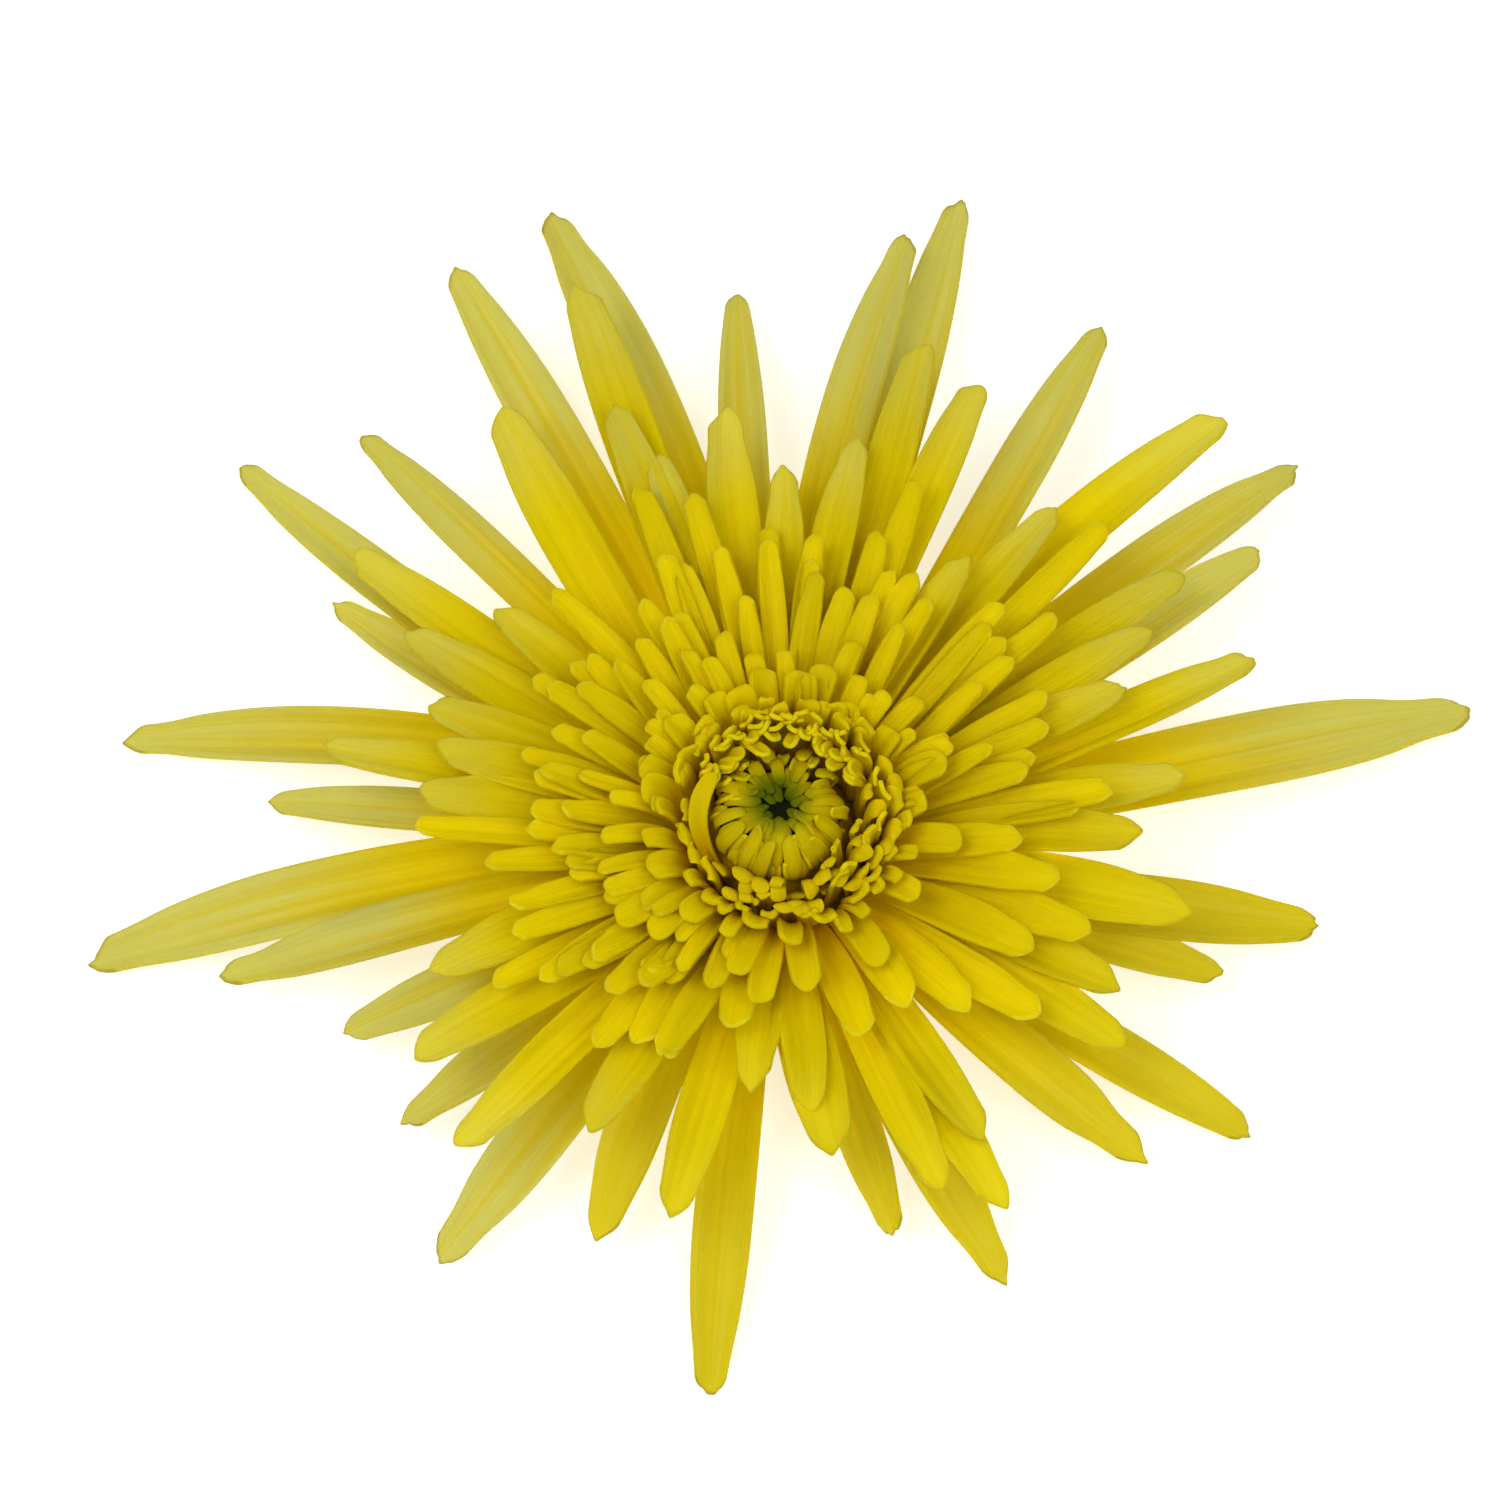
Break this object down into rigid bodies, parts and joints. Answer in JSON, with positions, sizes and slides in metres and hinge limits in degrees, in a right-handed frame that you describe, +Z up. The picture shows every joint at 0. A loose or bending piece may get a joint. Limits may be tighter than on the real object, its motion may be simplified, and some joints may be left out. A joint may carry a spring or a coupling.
{
  "type": "cut spider chrysanthemum bloom",
  "caption": "Cut bloom of a yellow spider chrysanthemum, face up: long strap-like rays in whorls round a small closed bud, with its green cup of bracts and a stub of stem.",
  "frame": {"origin": "On the surface that the bloom rests on, in the middle of the ground that it covers. The stem's axis stands 10 mm in front of the origin (y = -10 mm), because the rays at the back are longer.", "axes": "+Z is up along the stem and out of the bloom's face. Seen from the front, +X is to the right and +Y is away from the viewer."},
  "size_m": [0.1262, 0.115, 0.0274],
  "materials": {
    "ray": "satin",
    "disc": "satin",
    "green": "satin"
  },
  "bodies": {
    "root": {"ray_florets": "ray", "disc_florets": "disc", "involucre": "green", "stem": "green"}
  },
  "joints": []
}
